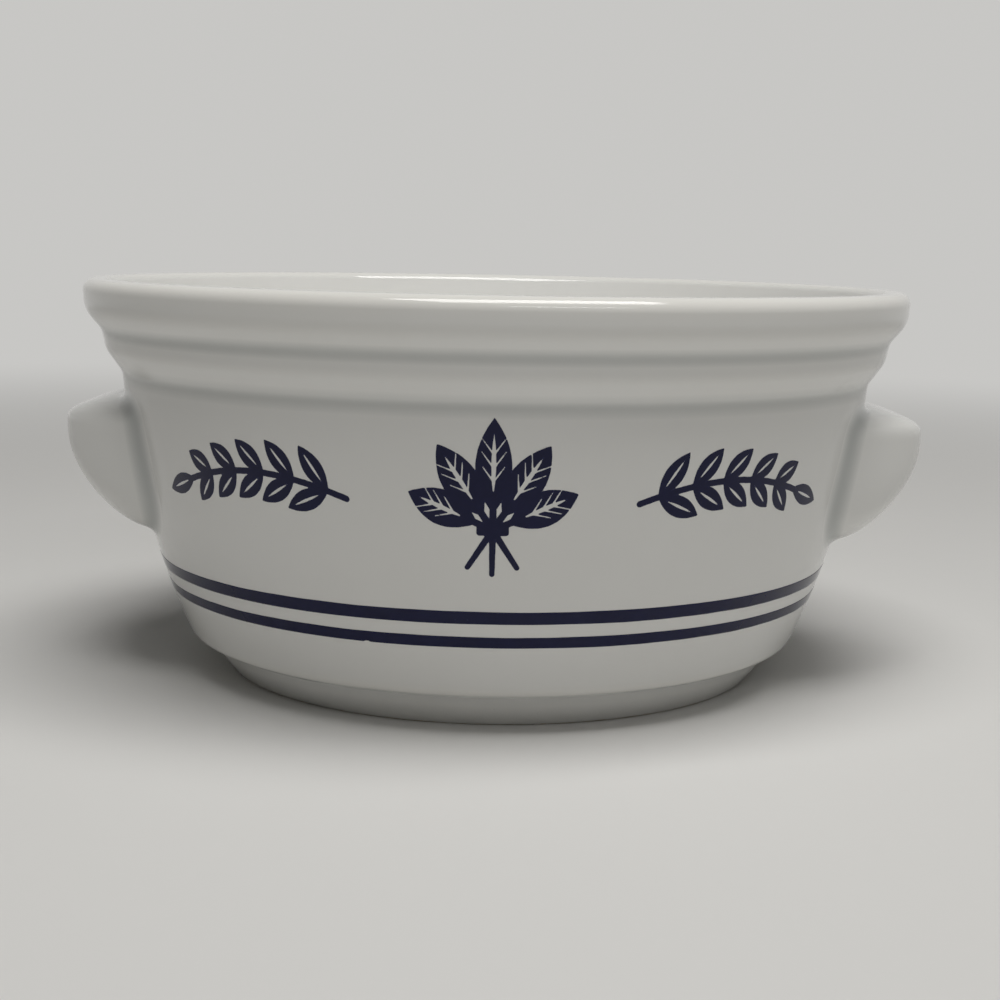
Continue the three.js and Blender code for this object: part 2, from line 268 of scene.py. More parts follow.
def inside_points():
    """Outline from the mouth down the inside wall, round the floor's corner and to the axis."""
    centre = np.array(WALL_CENTRE)
    reach = inside_arc_radius()
    lip = np.array((RIM_RADIUS - RIM_THICKNESS, BOWL_HEIGHT))
    slope = lip - mouth_corner()
    slope = slope / np.linalg.norm(slope)
    outward = np.array((slope[1], -slope[0]))
    base = lip + outward * MOUTH_ROUND - centre
    along = base @ slope
    far = (reach + MOUTH_ROUND) ** 2
    shift = -along + math.sqrt(along ** 2 - base @ base + far)
    if shift > 0:
        shift = -along - math.sqrt(along ** 2 - base @ base + far)
    mouth = lip + outward * MOUTH_ROUND + slope * shift
    from_line = -outward
    from_wall = centre - mouth
    start = math.atan2(from_line[1], from_line[0]) % (2 * math.pi)
    end = math.atan2(from_wall[1], from_wall[0]) % (2 * math.pi)
    points = arc(mouth, MOUTH_ROUND, start, end)
    floor_height = FLOOR_TOP + FLOOR_CORNER_ROUND
    floor_reach = reach - FLOOR_CORNER_ROUND
    floor_radius = centre[0] + math.sqrt(floor_reach ** 2 - (centre[1] - floor_height) ** 2)
    floor_centre = np.array((floor_radius, floor_height))
    to_corner = floor_centre - centre
    corner_angle = math.atan2(to_corner[1], to_corner[0])
    wall_end = floor_centre[1] + FLOOR_CORNER_ROUND * math.sin(corner_angle)
    for height in np.linspace(points[-1][1], wall_end, WALL_STEPS)[1:-1]:
        points.append(np.array((wall_radius(height, -WALL_THICKNESS), height)))
    points += arc(floor_centre, FLOOR_CORNER_ROUND, corner_angle, -math.pi / 2)
    for radius in np.linspace(floor_radius, 0.0, FLOOR_STEPS)[1:]:
        points.append(np.array((radius, FLOOR_TOP)))
    return points


def edge_values(points):
    """How sharply an outline bends at each point: above zero on edges, below zero in coves."""
    bends = np.zeros(len(points))
    for index in range(1, len(points) - 1):
        back = points[index] - points[index - 1]
        ahead = points[index + 1] - points[index]
        turn = math.atan2(back[0] * ahead[1] - back[1] * ahead[0], back @ ahead)
        length = (np.linalg.norm(back) + np.linalg.norm(ahead)) / 2
        bends[index] = turn / max(length, SHORTEST_STEP)
    steps = np.linalg.norm(np.diff(np.array(points), axis=0), axis=1)
    place = np.concatenate([[0.0], np.cumsum(steps)])
    weight = np.concatenate([[0.0], (steps[:-1] + steps[1:]) / 2, [0.0]])
    near = np.exp(-0.5 * ((place[:, None] - place[None]) / BEND_SPREAD) ** 2) * weight[None]
    return np.clip(near @ bends / near.sum(axis=1) * BEND_SCALE, -1.0, 1.0)


# Meshes

def make_piece(name, points, faces, values, material, slot, replaced):
    """A mesh object from millimetre points, with a value for each point that its material reads."""
    mesh = bpy.data.meshes.new(name)
    mesh.from_pydata([Vector(p) * MM for p in points], [], faces)
    mesh.validate()
    layer = mesh.attributes.new("edge", "FLOAT", "POINT")
    layer.data.foreach_set("value", np.asarray(values, dtype=np.float32))
    mesh.polygons.foreach_set("use_smooth", [True] * len(mesh.polygons))
    mesh.materials.append(material)
    mesh.update()
    piece = bpy.data.objects.new(name, mesh)
    bpy.context.scene.collection.objects.link(piece)
    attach(piece, "root")
    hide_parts(*replaced)
    return piece


def turned_mesh(outline, values):
    """Points, faces and values of a closed shape turned about Z from the axis back to the axis."""
    points = []
    faces = []
    point_values = []
    ring = outline[1:-1]
    angles = np.linspace(0, 2 * math.pi, TURN_STEPS, endpoint=False)
    for point, value in zip(ring, values[1:-1]):
        for angle in angles:
            points.append((point[0] * math.cos(angle), point[0] * math.sin(angle), point[1]))
            point_values.append(value)
    for row in range(len(ring) - 1):
        for step in range(TURN_STEPS):
            following = (step + 1) % TURN_STEPS
            low = row * TURN_STEPS
            high = low + TURN_STEPS
            faces.append((low + step, low + following, high + following, high + step))
    first_pole = len(points)
    points.append((0.0, 0.0, outline[0][1]))
    points.append((0.0, 0.0, outline[-1][1]))
    point_values += [values[0], values[-1]]
    last_row = (len(ring) - 1) * TURN_STEPS
    for step in range(TURN_STEPS):
        following = (step + 1) % TURN_STEPS
        faces.append((first_pole, following, step))
        faces.append((first_pole + 1, last_row + step, last_row + following))
    return points, faces, point_values


def blend(share, power):
    """Falls from one to zero as the share grows, along a rounded curve."""
    return np.maximum(0.0, 1.0 - share ** power) ** (1.0 / power)


def signed_power(value, power):
    return np.sign(value) * np.abs(value) ** power


def lug_point(share, angle):
    """Points of the lug along +X from shares of its reach and angles round its section."""
    above = LUG_TOP - LUG_TIP
    below = LUG_TIP - LUG_BOTTOM
    root = wall_radius(LUG_TIP) - LUG_ROOT_DEPTH
    rise = signed_power(np.cos(angle), 2 / LUG_SECTION_POWER)
    sway = signed_power(np.sin(angle), 2 / LUG_SECTION_POWER)
    bent = np.maximum(0.0, (share - LUG_EVEN_SHARE) / (1 - LUG_EVEN_SHARE))
    over = above * blend(bent, LUG_TOP_POWER)
    under = below * blend(bent, LUG_HEEL_POWER)
    upward = np.where(rise > 0, over, under)
    height = LUG_TIP + rise * upward
    half_width = LUG_HALF_WIDTH * blend(share, LUG_PLAN_POWER)
    reach = root + (LUG_TIP_RADIUS - root) * share
    return np.stack([reach, sway * half_width, height], axis=-1)


def wall_normal(points):
    """Outward directions of the wall next to points on it."""
    radius = np.hypot(points[:, 0], points[:, 1])
    out = (wall_radius(points[:, 2]) - WALL_CENTRE[0]) / WALL_RADIUS
    up = (points[:, 2] - WALL_CENTRE[1]) / WALL_RADIUS
    return np.stack([points[:, 0] / radius * out, points[:, 1] / radius * out, up], axis=1)


def onto_wall(points, offset):
    """Points moved along their radius to the wall's outside, plus an offset."""
    radius = np.hypot(points[:, 0], points[:, 1])
    wanted = wall_radius(points[:, 2], offset)
    moved = points.copy()
    moved[:, 0] *= wanted / radius
    moved[:, 1] *= wanted / radius
    return moved


def unit(vectors):
    return vectors / np.linalg.norm(vectors, axis=1)[:, None]


def root_shares(angles):
    """Share of the lug's reach at which it comes out of the wall, for each angle."""
    low = np.zeros_like(angles)
    high = np.full_like(angles, NEAR_TIP_SHARE)
    for _ in range(HALVINGS):
        middle = (low + high) / 2
        point = lug_point(middle, angles)
        inside = np.hypot(point[:, 0], point[:, 1]) < wall_radius(point[:, 2])
        low = np.where(inside, middle, low)
        high = np.where(inside, high, middle)
    return (low + high) / 2


def even_angles():
    """Section angles whose root points are evenly spaced round the joint."""
    angles = np.linspace(0, 2 * math.pi, LUG_ROOT_SAMPLES)
    root = lug_point(root_shares(angles), angles)
    lengths = np.concatenate([[0], np.cumsum(np.linalg.norm(np.diff(root, axis=0), axis=1))])
    wanted = np.linspace(0, lengths[-1], LUG_ROUND_STEPS, endpoint=False)
    return np.interp(wanted, lengths, angles)


def fillet_end_shares(angles, start, fillet):
    """Share of the reach where the lug is a fillet's length away from its root."""
    root = lug_point(start, angles)
    low = start.copy()
    high = np.full_like(start, NEAR_TIP_SHARE)
    for _ in range(HALVINGS):
        middle = (low + high) / 2
        near = np.linalg.norm(lug_point(middle, angles) - root, axis=1) < fillet
        low = np.where(near, middle, low)
        high = np.where(near, high, middle)
    return (low + high) / 2


def lug_mesh():
    """A closed lug with a soft fillet that runs out on the wall."""
    angles = even_angles()
    start = root_shares(angles)
    root = lug_point(start, angles)
    normal = wall_normal(root)
    along = unit(np.roll(root, -1, axis=0) - np.roll(root, 1, axis=0))
    away = unit(np.cross(along, normal))
    if np.sum(away * (root - root.mean(axis=0))) < 0:
        away = -away
    sideways = np.abs(root[:, 1]) / np.abs(root[:, 1]).max()
    fillet = LUG_END_FILLET + (LUG_SIDE_FILLET - LUG_END_FILLET) * sideways ** 2
    skirt = onto_wall(root + away * fillet[:, None], LUG_SKIRT_LIFT)
    skirt_normal = wall_normal(skirt)
    inward = unit(-away + np.sum(away * skirt_normal, axis=1)[:, None] * skirt_normal)
    end = fillet_end_shares(angles, start, fillet)
    lug_side = lug_point(end, angles)
    ahead = unit(lug_point(end + SHARE_STEP, angles) - lug_side)
    pull = LUG_FILLET_PULL * np.linalg.norm(lug_side - skirt, axis=1)[:, None]
    hem = onto_wall(skirt + away * LUG_SKIRT, -LUG_SKIRT_SINK)
    rings = [hem - skirt_normal * LUG_BURY, hem]
    values = [0.0, 0.0]
    for t in np.linspace(0, 1, LUG_FILLET_STEPS + 1)[:-1]:
        rings.append(
            (2 * t ** 3 - 3 * t ** 2 + 1) * skirt
            + (t ** 3 - 2 * t ** 2 + t) * pull * inward
            + (3 * t ** 2 - 2 * t ** 3) * lug_side
            + (t ** 3 - t ** 2) * pull * ahead
        )
        # Painted shade: the fillet's crease gets a negative value that the glaze darkens, partly pooled
        # glaze and partly painted shade
        values.append(LUG_CREASE_SHADE_VALUE * math.sin(math.pi * t))
    turn_start = np.arcsin(end)
    for t in np.linspace(0, 1, LUG_REACH_STEPS + 1)[:-1]:
        rings.append(lug_point(np.sin(turn_start + (math.pi / 2 - turn_start) * t), angles))
        values.append(LUG_TIP_VALUE * t)
    count = len(angles)
    points = np.concatenate(rings)
    point_values = np.repeat(values, count)
    cap = onto_wall(rings[0].mean(axis=0)[None], -LUG_BURY)[0]
    tip = np.array((LUG_TIP_RADIUS, 0.0, LUG_TIP))
    points = np.concatenate([points, cap[None], tip[None]])
    point_values = np.concatenate([point_values, [0.0, LUG_TIP_VALUE]])
    faces = []
    last = (len(rings) - 1) * count
    for step in range(count):
        following = (step + 1) % count
        for row in range(len(rings) - 1):
            low = row * count
            high = low + count
            faces.append((low + step, high + step, high + following, low + following))
        faces.append((len(points) - 2, step, following))
        faces.append((len(points) - 1, last + following, last + step))
    return points, faces, point_values


def half_turned(points):
    """Points turned half a turn about Z."""
    return points * np.array((-1.0, -1.0, 1.0))


# Pigment layers on the wall

def ripple(position, seed):
    """A small wavering between minus one and one, the same on every run."""
    total = np.zeros_like(position)
    for wave in range(1, RIPPLE_WAVES + 1):
        total += np.sin(position * wave * RIPPLE_PITCH + seed * wave * RIPPLE_SHIFT + wave * wave) / wave
    return total / RIPPLE_PEAK


def stripe_mesh(bottom, top, seed, nick_angle):
    """A painted ring on the wall with slightly wavering edges, closed and almost flush."""
    angles = np.linspace(0, 2 * math.pi, STRIPE_STEPS, endpoint=False)
    low_place = STRIPE_LOW_WAVES[0] * np.sin(angles) + STRIPE_LOW_WAVES[1] * np.cos(angles)
    high_place = STRIPE_HIGH_WAVES[0] * np.sin(angles) + STRIPE_HIGH_WAVES[1] * np.cos(angles)
    low = bottom + STRIPE_WAVER * ripple(low_place, seed)
    high = top + STRIPE_WAVER * ripple(high_place, seed + 1)
    if nick_angle is not None:
        apart = np.abs((angles - nick_angle + math.pi) % (2 * math.pi) - math.pi)
        low = low + NICK_DEPTH * np.clip(1 - apart / NICK_REACH, 0, 1)
    section = [
        (0.0, -PIGMENT_BURY, 0.0),
        (0.0, PIGMENT_PROUD, 0.0),
        (STRIPE_FADE, PIGMENT_PROUD, STRIPE_FADE_VALUE),
        (0.5, PIGMENT_PROUD, 1.0),
        (1 - STRIPE_FADE, PIGMENT_PROUD, STRIPE_FADE_VALUE),
        (1.0, PIGMENT_PROUD, 0.0),
        (1.0, -PIGMENT_BURY, 0.0),
    ]
    points = []
    values = []
    faces = []
    for share, offset, value in section:
        height = low + (high - low) * share
        radius = wall_radius(height, offset)
        points.append(np.stack([radius * np.cos(angles), radius * np.sin(angles), height], axis=1))
        values.append(np.full(STRIPE_STEPS, value))
    for row in range(len(section)):
        lower = row * STRIPE_STEPS
        upper = ((row + 1) % len(section)) * STRIPE_STEPS
        for step in range(STRIPE_STEPS):
            following = (step + 1) % STRIPE_STEPS
            faces.append((lower + step, lower + following, upper + following, upper + step))
    return np.concatenate(points), faces, np.concatenate(values)


def stroke(grid, start, end, start_half, end_half):
    """Distance to a straight stroke with round ends whose half width runs from one value to another."""
    start = np.asarray(start, dtype=float)
    run = np.asarray(end, dtype=float) - start
    share = np.clip(((grid - start) @ run) / (run @ run), 0, 1)
    gap = np.linalg.norm(grid - start - share[..., None] * run, axis=-1)
    return gap - (start_half + (end_half - start_half) * share)


def heading(angle):
    """Direction at an angle from straight up."""
    return np.array((math.sin(angle), math.cos(angle)))


def lens(grid, base, angle, length, width):
    """Distance to a pointed leaf outline."""
    ahead = heading(angle)
    aside = np.array((ahead[1], -ahead[0]))
    along = (grid - base) @ ahead / length
    across = np.abs((grid - base) @ aside)
    inner = np.clip(along, 0, 1)
    half = 2 * width * inner * (1 - inner)
    slope = 2 * width * (1 - 2 * inner) / length
    body = (across - half) / np.sqrt(1 + slope ** 2)
    past = np.abs(along - inner) * length
    return np.where(past > 0, np.hypot(past, across), body)


def leaf(grid, base, angle, length, width, side_veins):
    """Distance to a leaf with an open middle vein and side veins."""
    ahead = heading(angle)
    outline = lens(grid, base, angle, length, width)
    vein_length = (VEIN_END - VEIN_START) * length
    open_part = lens(grid, base + ahead * VEIN_START * length, angle, vein_length, VEIN_WIDTH * width)
    for share in side_veins:
        root = base + ahead * share * length
        half = 2 * width * share * (1 - share)
        for flank in (-1, 1):
            tip = root + heading(angle + flank * SIDE_VEIN_ANGLE) * half * SIDE_VEIN_REACH
            open_part = np.minimum(open_part, stroke(grid, root, tip, *SIDE_VEIN_HALVES))
    return np.maximum(outline, -open_part)


def box(grid, centre, size, round_by):
    """Distance to a rectangle with rounded corners."""
    past = np.abs(grid - np.asarray(centre)) - np.asarray(size) / 2 + round_by
    outer = np.linalg.norm(np.maximum(past, 0), axis=-1)
    return outer + np.minimum(past.max(axis=-1), 0) - round_by


def bunch_field(grid):
    """Distance to a fan of five leaves whose stalks pass through a tie."""
    tie = np.array((0.0, -BUNCH_TIE_DROP))
    widest = max(BUNCH_ANGLES)
    field = box(grid, tie, BUNCH_TIE_SIZE, BUNCH_TIE_ROUND)
    for degrees in BUNCH_ANGLES:
        angle = math.radians(degrees)
        length = BUNCH_LEAF_LENGTH * (1 - BUNCH_OUTER_SHRINK * abs(degrees) / widest)
        base = tie + heading(angle) * BUNCH_STALK
        end = tie + heading(angle) * (BUNCH_STALK + VEIN_START * length)
        field = np.minimum(field, stroke(grid, tie, end, STALK_HALF, STALK_HALF))
        blade = leaf(grid, base, angle, length, BUNCH_LEAF_WIDTH, BUNCH_SIDE_VEINS)
        field = np.minimum(field, blade)
    for degrees in BUNCH_TAIL_ANGLES:
        end = tie - heading(math.radians(degrees)) * BUNCH_TAIL_LENGTH
        field = np.minimum(field, stroke(grid, tie, end, STALK_HALF, TAIL_END_HALF))
    return field


def stem_point(side, share):
    """A point on a sprig's bowed stem."""
    return np.array((side * SPRIG_LENGTH * (share - 0.5), SPRIG_BOW * (4 * share * (1 - share) - 0.5)))


def stem_angle(side, share):
    """The stem's heading, from straight up."""
    return math.atan2(side * SPRIG_LENGTH, 4 * SPRIG_BOW * (1 - 2 * share))


def sprig_field(grid, side):
    """Distance to a bowed stem with pairs of leaves and a leaf at its tip."""
    field = np.full(grid.shape[:-1], np.inf)
    for step in range(STEM_STEPS):
        start = stem_point(side, step / STEM_STEPS)
        end = stem_point(side, (step + 1) / STEM_STEPS)
        field = np.minimum(field, stroke(grid, start, end, STEM_HALF, STEM_HALF))
    for pair in range(SPRIG_PAIRS):
        share = (pair + 0.5) / (SPRIG_PAIRS + SPRIG_TIP_SPACE)
        length = SPRIG_LEAF_LENGTH * (1 - SPRIG_TIP_SHRINK * share)
        for flank in (-1, 1):
            angle = stem_angle(side, share) + flank * math.radians(SPRIG_LEAF_ANGLE)
            blade = leaf(grid, stem_point(side, share), angle, length, SPRIG_LEAF_WIDTH, ())
            field = np.minimum(field, blade)
    tip_base = stem_point(side, 1 - VEIN_START / SPRIG_PAIRS)
    tip_leaf = leaf(grid, tip_base, stem_angle(side, 1), SPRIG_LEAF_LENGTH, SPRIG_LEAF_WIDTH, ())
    return np.minimum(field, tip_leaf)


def print_mesh(field_of, half_size, degrees, seed):
    """A closed pigment layer on the wall where a flat design's distance is below zero."""
    columns = int(2 * half_size[0] / PRINT_GRID) + 1
    rows = int(2 * half_size[1] / PRINT_GRID) + 1
    xs = -half_size[0] + PRINT_GRID * np.arange(columns)
    ys = -half_size[1] + PRINT_GRID * np.arange(rows)
    grid = np.stack(np.meshgrid(xs, ys, indexing="ij"), axis=-1)
    place = grid[..., 0] * PRINT_WAVES[0] + ys[None] * PRINT_WAVES[1]
    field = field_of(grid) + PRINT_WAVER * ripple(place, seed)
    field = np.where(np.abs(field) < TINY, TINY, field)
    flat = []
    values = []
    known = {}
    faces = []

    def corner(i, j):
        key = (i, j)
        if key not in known:
            known[key] = len(flat)
            flat.append((xs[i], ys[j]))
            values.append(min(1.0, -field[i, j] / PRINT_EDGE_WIDTH))
        return known[key]

    def crossing(a, b):
        key = (min(a, b), max(a, b))
        if key not in known:
            share = field[a] / (field[a] - field[b])
            known[key] = len(flat)
            x = xs[a[0]] + (xs[b[0]] - xs[a[0]]) * share
            y = ys[a[1]] + (ys[b[1]] - ys[a[1]]) * share
            flat.append((x, y))
            values.append(0.0)
        return known[key]

    inside = field < 0
    touched = inside[:-1, :-1] | inside[1:, :-1] | inside[:-1, 1:] | inside[1:, 1:]
    for i, j in np.argwhere(touched):
        cell = [(i, j), (i + 1, j), (i + 1, j + 1), (i, j + 1)]
        loop = []
        for index, here in enumerate(cell):
            there = cell[(index + 1) % len(cell)]
            if inside[here]:
                loop.append(corner(*here))
            if inside[here] != inside[there]:
                loop.append(crossing(here, there))
        faces.append(loop)
    used = {}
    for loop in faces:
        for index, here in enumerate(loop):
            there = loop[(index + 1) % len(loop)]
            used[(here, there)] = True
    count = len(flat)
    flat = np.array(flat)
    layers = []
    turn = math.radians(degrees)
    for offset in (PIGMENT_PROUD, -PIGMENT_BURY):
        height = PRINT_HEIGHT + flat[:, 1]
        depth = np.sqrt(wall_radius(height, offset) ** 2 - flat[:, 0] ** 2)
        x = flat[:, 0] * math.cos(turn) + depth * math.sin(turn)
        y = flat[:, 0] * math.sin(turn) - depth * math.cos(turn)
        layers.append(np.stack([x, y, height], axis=1))
    closed = list(faces)
    closed += [[index + count for index in reversed(loop)] for loop in faces]
    for here, there in used:
        if (there, here) not in used:
            closed.append([there, here, here + count, there + count])
    return np.concatenate(layers), closed, values + values


# Materials

COLOUR_INPUTS = (6, 7)
COLOUR_OUTPUT = 2
GLAZE_COLOURS = ((0.80, 0.795, 0.765), (0.845, 0.845, 0.825))
GLAZE_MOTTLE = (28.0, 3.0)
GLAZE_WAVES = (55.0, 1.5)
GLAZE_WAVE_DEPTH = 0.00004
GLAZE_PEEL = (700.0, 1.0)
GLAZE_PEEL_DEPTH = 0.0000012
GLAZE_WEAR = (46.0, 4.0, 0.6)
GLAZE_WEAR_RANGE = (0.35, 0.75)
GLAZE_ROUGHNESS = (0.03, 0.09)
GLAZE_EDGE_RANGE = (0.2, 1.0)
GLAZE_EDGE_ROUGHNESS = 0.03
GLAZE_IOR = 1.52
THIN_COLOUR = (0.81, 0.785, 0.725)
THIN_RANGE = (0.1, 0.9)
THIN_SHARE = 0.45
# Glaze pooled in coves, darkened to a grey far past its real tint: painted shade in the rim's coves and
# the lug's crease
POOLED_GLAZE_AND_SHADE_COLOUR = (0.43, 0.45, 0.44)
POOLED_GLAZE_AND_SHADE_RANGE = (-0.06, -0.6)
POOLED_GLAZE_AND_SHADE_SHARE = 0.9
SPECK_COLOUR = (0.33, 0.24, 0.16)
SPECK_SHARE = 0.55
SPECK_CELLS = (95.0, 0.022, 0.2)
PIT_CELLS = (130.0, 0.03, 0.16)
PIT_DEPTH = -0.00003
SPOT_CORE = 0.4
BISCUIT_COLOURS = ((0.50, 0.40, 0.29), (0.66, 0.57, 0.45))
BISCUIT_GRAIN = (1600.0, 3.0, 0.7)
BISCUIT_DEPTH = 0.00012
BISCUIT_ROUGHNESS = 0.65
BISCUIT_RANGE = (0.00048, 0.00036)
BISCUIT_RAGGED = (420.0, 2.0)
BISCUIT_RAGGED_HEIGHT = 0.0005
PIGMENT_COLOURS = ((0.0035, 0.0045, 0.03), (0.0085, 0.0105, 0.058))
PIGMENT_MOTTLE = (240.0, 4.0, 0.65)
PIGMENT_ROUGHNESS = (0.06, 0.13)
PIGMENT_SPECULAR = 0.22
BLEED_COLOUR = (0.03, 0.036, 0.12)
BLEED_RANGE = (0.0, 0.5)
BLEED_SHARE = 0.45
FLECK_COLOUR = (0.05, 0.056, 0.15)
FLECK_SHARE = 0.4
FLECK_CELLS = (520.0, 0.11, 0.1)
FLOOR_COLOURS = ((0.70, 0.695, 0.68), (0.74, 0.735, 0.72))
FLOOR_MOTTLE = (3.0, 3.0)
FLOOR_GRAIN = (160.0, 3.0)
FLOOR_ROUGHNESS = (0.75, 0.95)
FLOOR_FADE = (0.2, 0.8)
BACKGROUND = (0.575, 0.57, 0.555)


def node_tree(name):
    material = bpy.data.materials.new(name)
    material.use_nodes = True
    tree = material.node_tree
    return material, tree, tree.nodes["Principled BSDF"]


def add_node(tree, kind, **settings):
    node = tree.nodes.new(kind)
    for key, value in settings.items():
        if key in node.inputs:
            node.inputs[key].default_value = value
        else:
            setattr(node, key, value)
    return node


def noise(tree, coordinates, scale, detail, roughness=0.5):
    node = add_node(tree, "ShaderNodeTexNoise")
    node.inputs["Scale"].default_value = scale
    node.inputs["Detail"].default_value = detail
    node.inputs["Roughness"].default_value = roughness
    tree.links.new(coordinates, node.inputs["Vector"])
    return node.outputs["Fac"]


def spread(tree, value, low, high, to_low, to_high, smooth=False):
    """A value mapped from one range to another and held within it."""
    node = add_node(tree, "ShaderNodeMapRange")
    node.interpolation_type = "SMOOTHSTEP" if smooth else "LINEAR"
    node.inputs["From Min"].default_value = low
    node.inputs["From Max"].default_value = high
    node.inputs["To Min"].default_value = to_low
    node.inputs["To Max"].default_value = to_high
    tree.links.new(value, node.inputs["Value"])
    return node.outputs["Result"]


def calculate(tree, operation, first, second):
    node = add_node(tree, "ShaderNodeMath", operation=operation)
    for socket, value in zip(node.inputs, (first, second)):
        if isinstance(value, (int, float)):
            socket.default_value = value
        else:
            tree.links.new(value, socket)
    return node.outputs[0]


def mix_colour(tree, share, first, second):
    node = add_node(tree, "ShaderNodeMix", data_type="RGBA")
    tree.links.new(share, node.inputs["Factor"])
    for index, value in zip(COLOUR_INPUTS, (first, second)):
        socket = node.inputs[index]
        if isinstance(value, tuple):
            socket.default_value = (*value, 1.0)
        else:
            tree.links.new(value, socket)
    return node.outputs[COLOUR_OUTPUT]


def bump(tree, height, distance, below=None):
    node = add_node(tree, "ShaderNodeBump")
    node.inputs["Strength"].default_value = 1.0
    node.inputs["Distance"].default_value = distance
    tree.links.new(height, node.inputs["Height"])
    if below is not None:
        tree.links.new(below, node.inputs["Normal"])
    return node.outputs["Normal"]


def object_place(tree):
    return add_node(tree, "ShaderNodeTexCoord").outputs["Object"]


def edge_of(tree):
    node = add_node(tree, "ShaderNodeAttribute")
    node.attribute_name = "edge"
    return node.outputs["Fac"]


def glaze_normal(tree, place):
    """Soft waviness and faint orange peel of a fired glaze."""
    waves = bump(tree, noise(tree, place, *GLAZE_WAVES), GLAZE_WAVE_DEPTH)
    return bump(tree, noise(tree, place, *GLAZE_PEEL), GLAZE_PEEL_DEPTH, waves)


def specks(tree, place, scale, radius, kept):
    """A mask of sparse round spots: one spot at most for each cell, and only some cells have one."""
    cells = add_node(tree, "ShaderNodeTexVoronoi")
    cells.inputs["Scale"].default_value = scale
    tree.links.new(place, cells.inputs["Vector"])
    pick = add_node(tree, "ShaderNodeSeparateColor")
    tree.links.new(cells.outputs["Color"], pick.inputs["Color"])
    chosen = calculate(tree, "LESS_THAN", pick.outputs["Red"], kept)
    spot = spread(tree, cells.outputs["Distance"], radius * SPOT_CORE, radius, 1.0, 0.0, True)
    return calculate(tree, "MULTIPLY", chosen, spot)


def white_glaze():
    """Glossy white glaze: thin and warm on edges, pooled and darkened with painted shade in coves and the
    lug's crease, bare under the foot.
    """
    material, tree, shader = node_tree("white_glaze")
    place = object_place(tree)
    edge = edge_of(tree)
    colour = mix_colour(tree, noise(tree, place, *GLAZE_MOTTLE), *GLAZE_COLOURS)
    thin = spread(tree, edge, *THIN_RANGE, 0.0, THIN_SHARE)
    colour = mix_colour(tree, thin, colour, THIN_COLOUR)
    # Painted shade: coves and the lug's crease take a dark grey tone, partly pooled glaze and mostly
    # painted shade
    pooled_glaze_and_shade = spread(tree, edge, *POOLED_GLAZE_AND_SHADE_RANGE, 0.0, POOLED_GLAZE_AND_SHADE_SHARE)
    colour = mix_colour(tree, pooled_glaze_and_shade, colour, POOLED_GLAZE_AND_SHADE_COLOUR)
    spots = specks(tree, place, *SPECK_CELLS)
    colour = mix_colour(tree, spread(tree, spots, 0.0, 1.0, 0.0, SPECK_SHARE), colour, SPECK_COLOUR)
    split = add_node(tree, "ShaderNodeSeparateXYZ")
    tree.links.new(place, split.inputs["Vector"])
    ragged = calculate(tree, "MULTIPLY", noise(tree, place, *BISCUIT_RAGGED), BISCUIT_RAGGED_HEIGHT)
    height = calculate(tree, "ADD", split.outputs["Z"], ragged)
    bare = spread(tree, height, *BISCUIT_RANGE, 0.0, 1.0)
    grain = noise(tree, place, *BISCUIT_GRAIN)
    biscuit = mix_colour(tree, grain, *BISCUIT_COLOURS)
    colour = mix_colour(tree, bare, colour, biscuit)
    tree.links.new(colour, shader.inputs["Base Color"])
    worn = spread(tree, noise(tree, place, *GLAZE_WEAR), *GLAZE_WEAR_RANGE, *GLAZE_ROUGHNESS)
    rubbed = spread(tree, edge, *GLAZE_EDGE_RANGE, 0.0, GLAZE_EDGE_ROUGHNESS)
    worn = calculate(tree, "ADD", worn, rubbed)
    dry = spread(tree, bare, 0.0, 1.0, 0.0, BISCUIT_ROUGHNESS)
    tree.links.new(calculate(tree, "ADD", worn, dry), shader.inputs["Roughness"])
    rough = calculate(tree, "MULTIPLY", grain, bare)
    normal = bump(tree, rough, BISCUIT_DEPTH, glaze_normal(tree, place))
    pits = bump(tree, specks(tree, place, *PIT_CELLS), PIT_DEPTH, normal)
    tree.links.new(pits, shader.inputs["Normal"])
    shader.inputs["IOR"].default_value = GLAZE_IOR
    return material


def navy_pigment():
    """Dark blue pigment under the glaze, mottled, with a paler bleeding edge."""
    material, tree, shader = node_tree("navy_pigment")
    place = object_place(tree)
    density = noise(tree, place, *PIGMENT_MOTTLE)
    colour = mix_colour(tree, density, *PIGMENT_COLOURS)
    bleed = spread(tree, edge_of(tree), *BLEED_RANGE, BLEED_SHARE, 0.0)
    colour = mix_colour(tree, bleed, colour, BLEED_COLOUR)
    flecks = specks(tree, place, *FLECK_CELLS)
    colour = mix_colour(tree, spread(tree, flecks, 0.0, 1.0, 0.0, FLECK_SHARE), colour, FLECK_COLOUR)
    tree.links.new(colour, shader.inputs["Base Color"])
    worn = spread(tree, noise(tree, place, *GLAZE_WEAR), *GLAZE_WEAR_RANGE, *PIGMENT_ROUGHNESS)
    tree.links.new(worn, shader.inputs["Roughness"])
    tree.links.new(glaze_normal(tree, place), shader.inputs["Normal"])
    shader.inputs["Specular IOR Level"].default_value = PIGMENT_SPECULAR
    return material


def seen_directly(tree):
    """One for rays from the camera and for reflections and refractions, zero for other light."""
    rays = add_node(tree, "ShaderNodeLightPath").outputs
    seen = calculate(tree, "MAXIMUM", rays["Is Camera Ray"], rays["Is Glossy Ray"])
    return calculate(tree, "MAXIMUM", seen, rays["Is Transmission Ray"])


